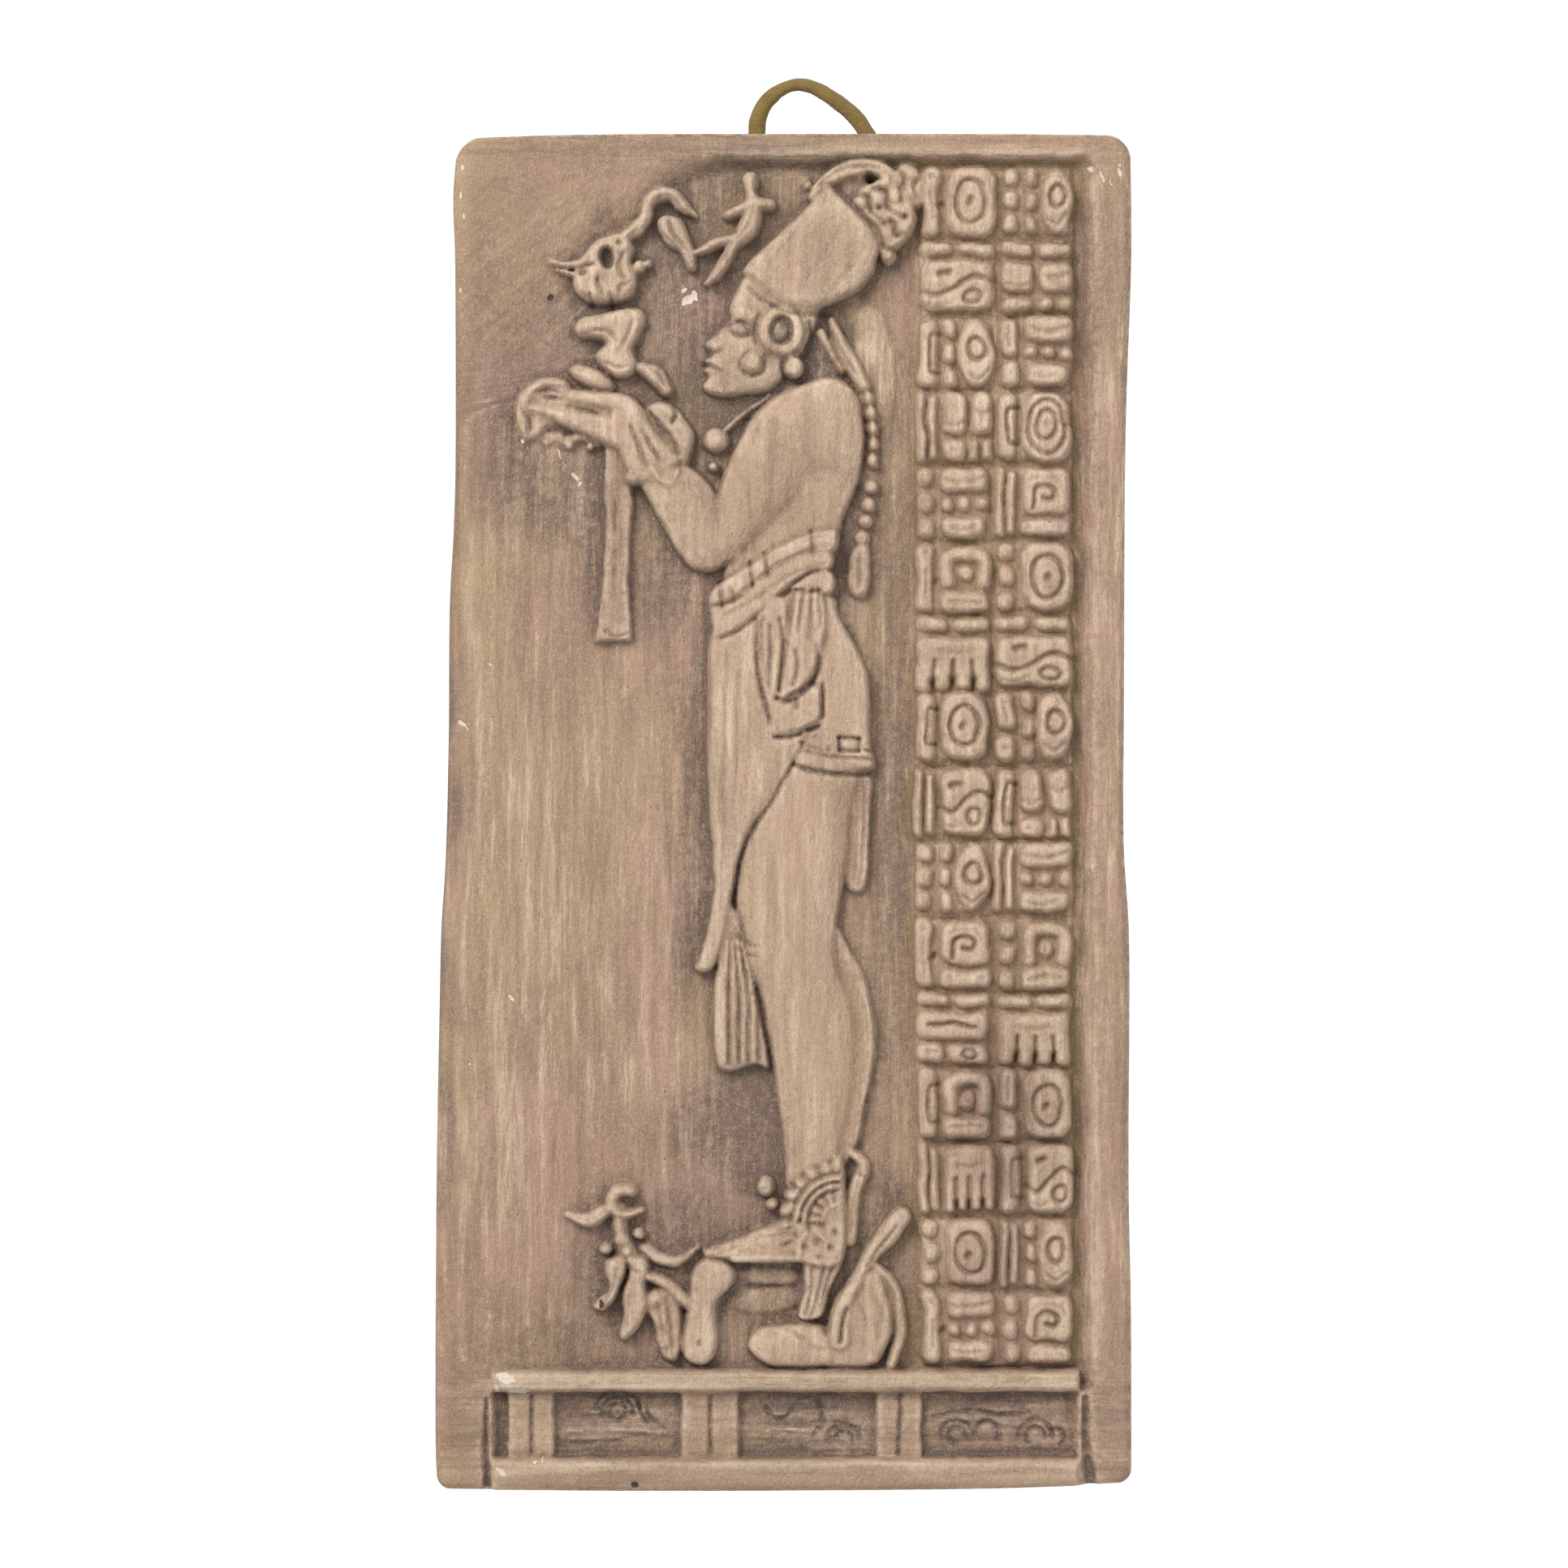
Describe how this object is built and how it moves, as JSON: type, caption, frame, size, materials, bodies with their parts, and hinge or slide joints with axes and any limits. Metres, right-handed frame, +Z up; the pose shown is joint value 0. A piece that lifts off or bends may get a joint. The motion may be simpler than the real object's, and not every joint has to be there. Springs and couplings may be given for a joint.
{
  "type": "ceramic relief wall plaque",
  "caption": "Upright cast ceramic wall plaque with a standing profile figure, offering, bench and carved block columns in relief, hung by a suede cord loop.",
  "frame": {"origin": "centre of the flat back face, on the wall plane, halfway up the slab", "axes": "+Z up, front of the relief towards -Y, +Y into the wall, +X to the viewer's right"},
  "size_m": [0.172, 0.0199, 0.3503],
  "materials": {
    "clay": "unglazed matte clay, dark wash in the recesses, dry-brushed lights on the raised forms",
    "suede": "matte olive-gold suede"
  },
  "bodies": {
    "root": {"plaque": "clay", "hanging_loop": "suede"}
  },
  "joints": []
}
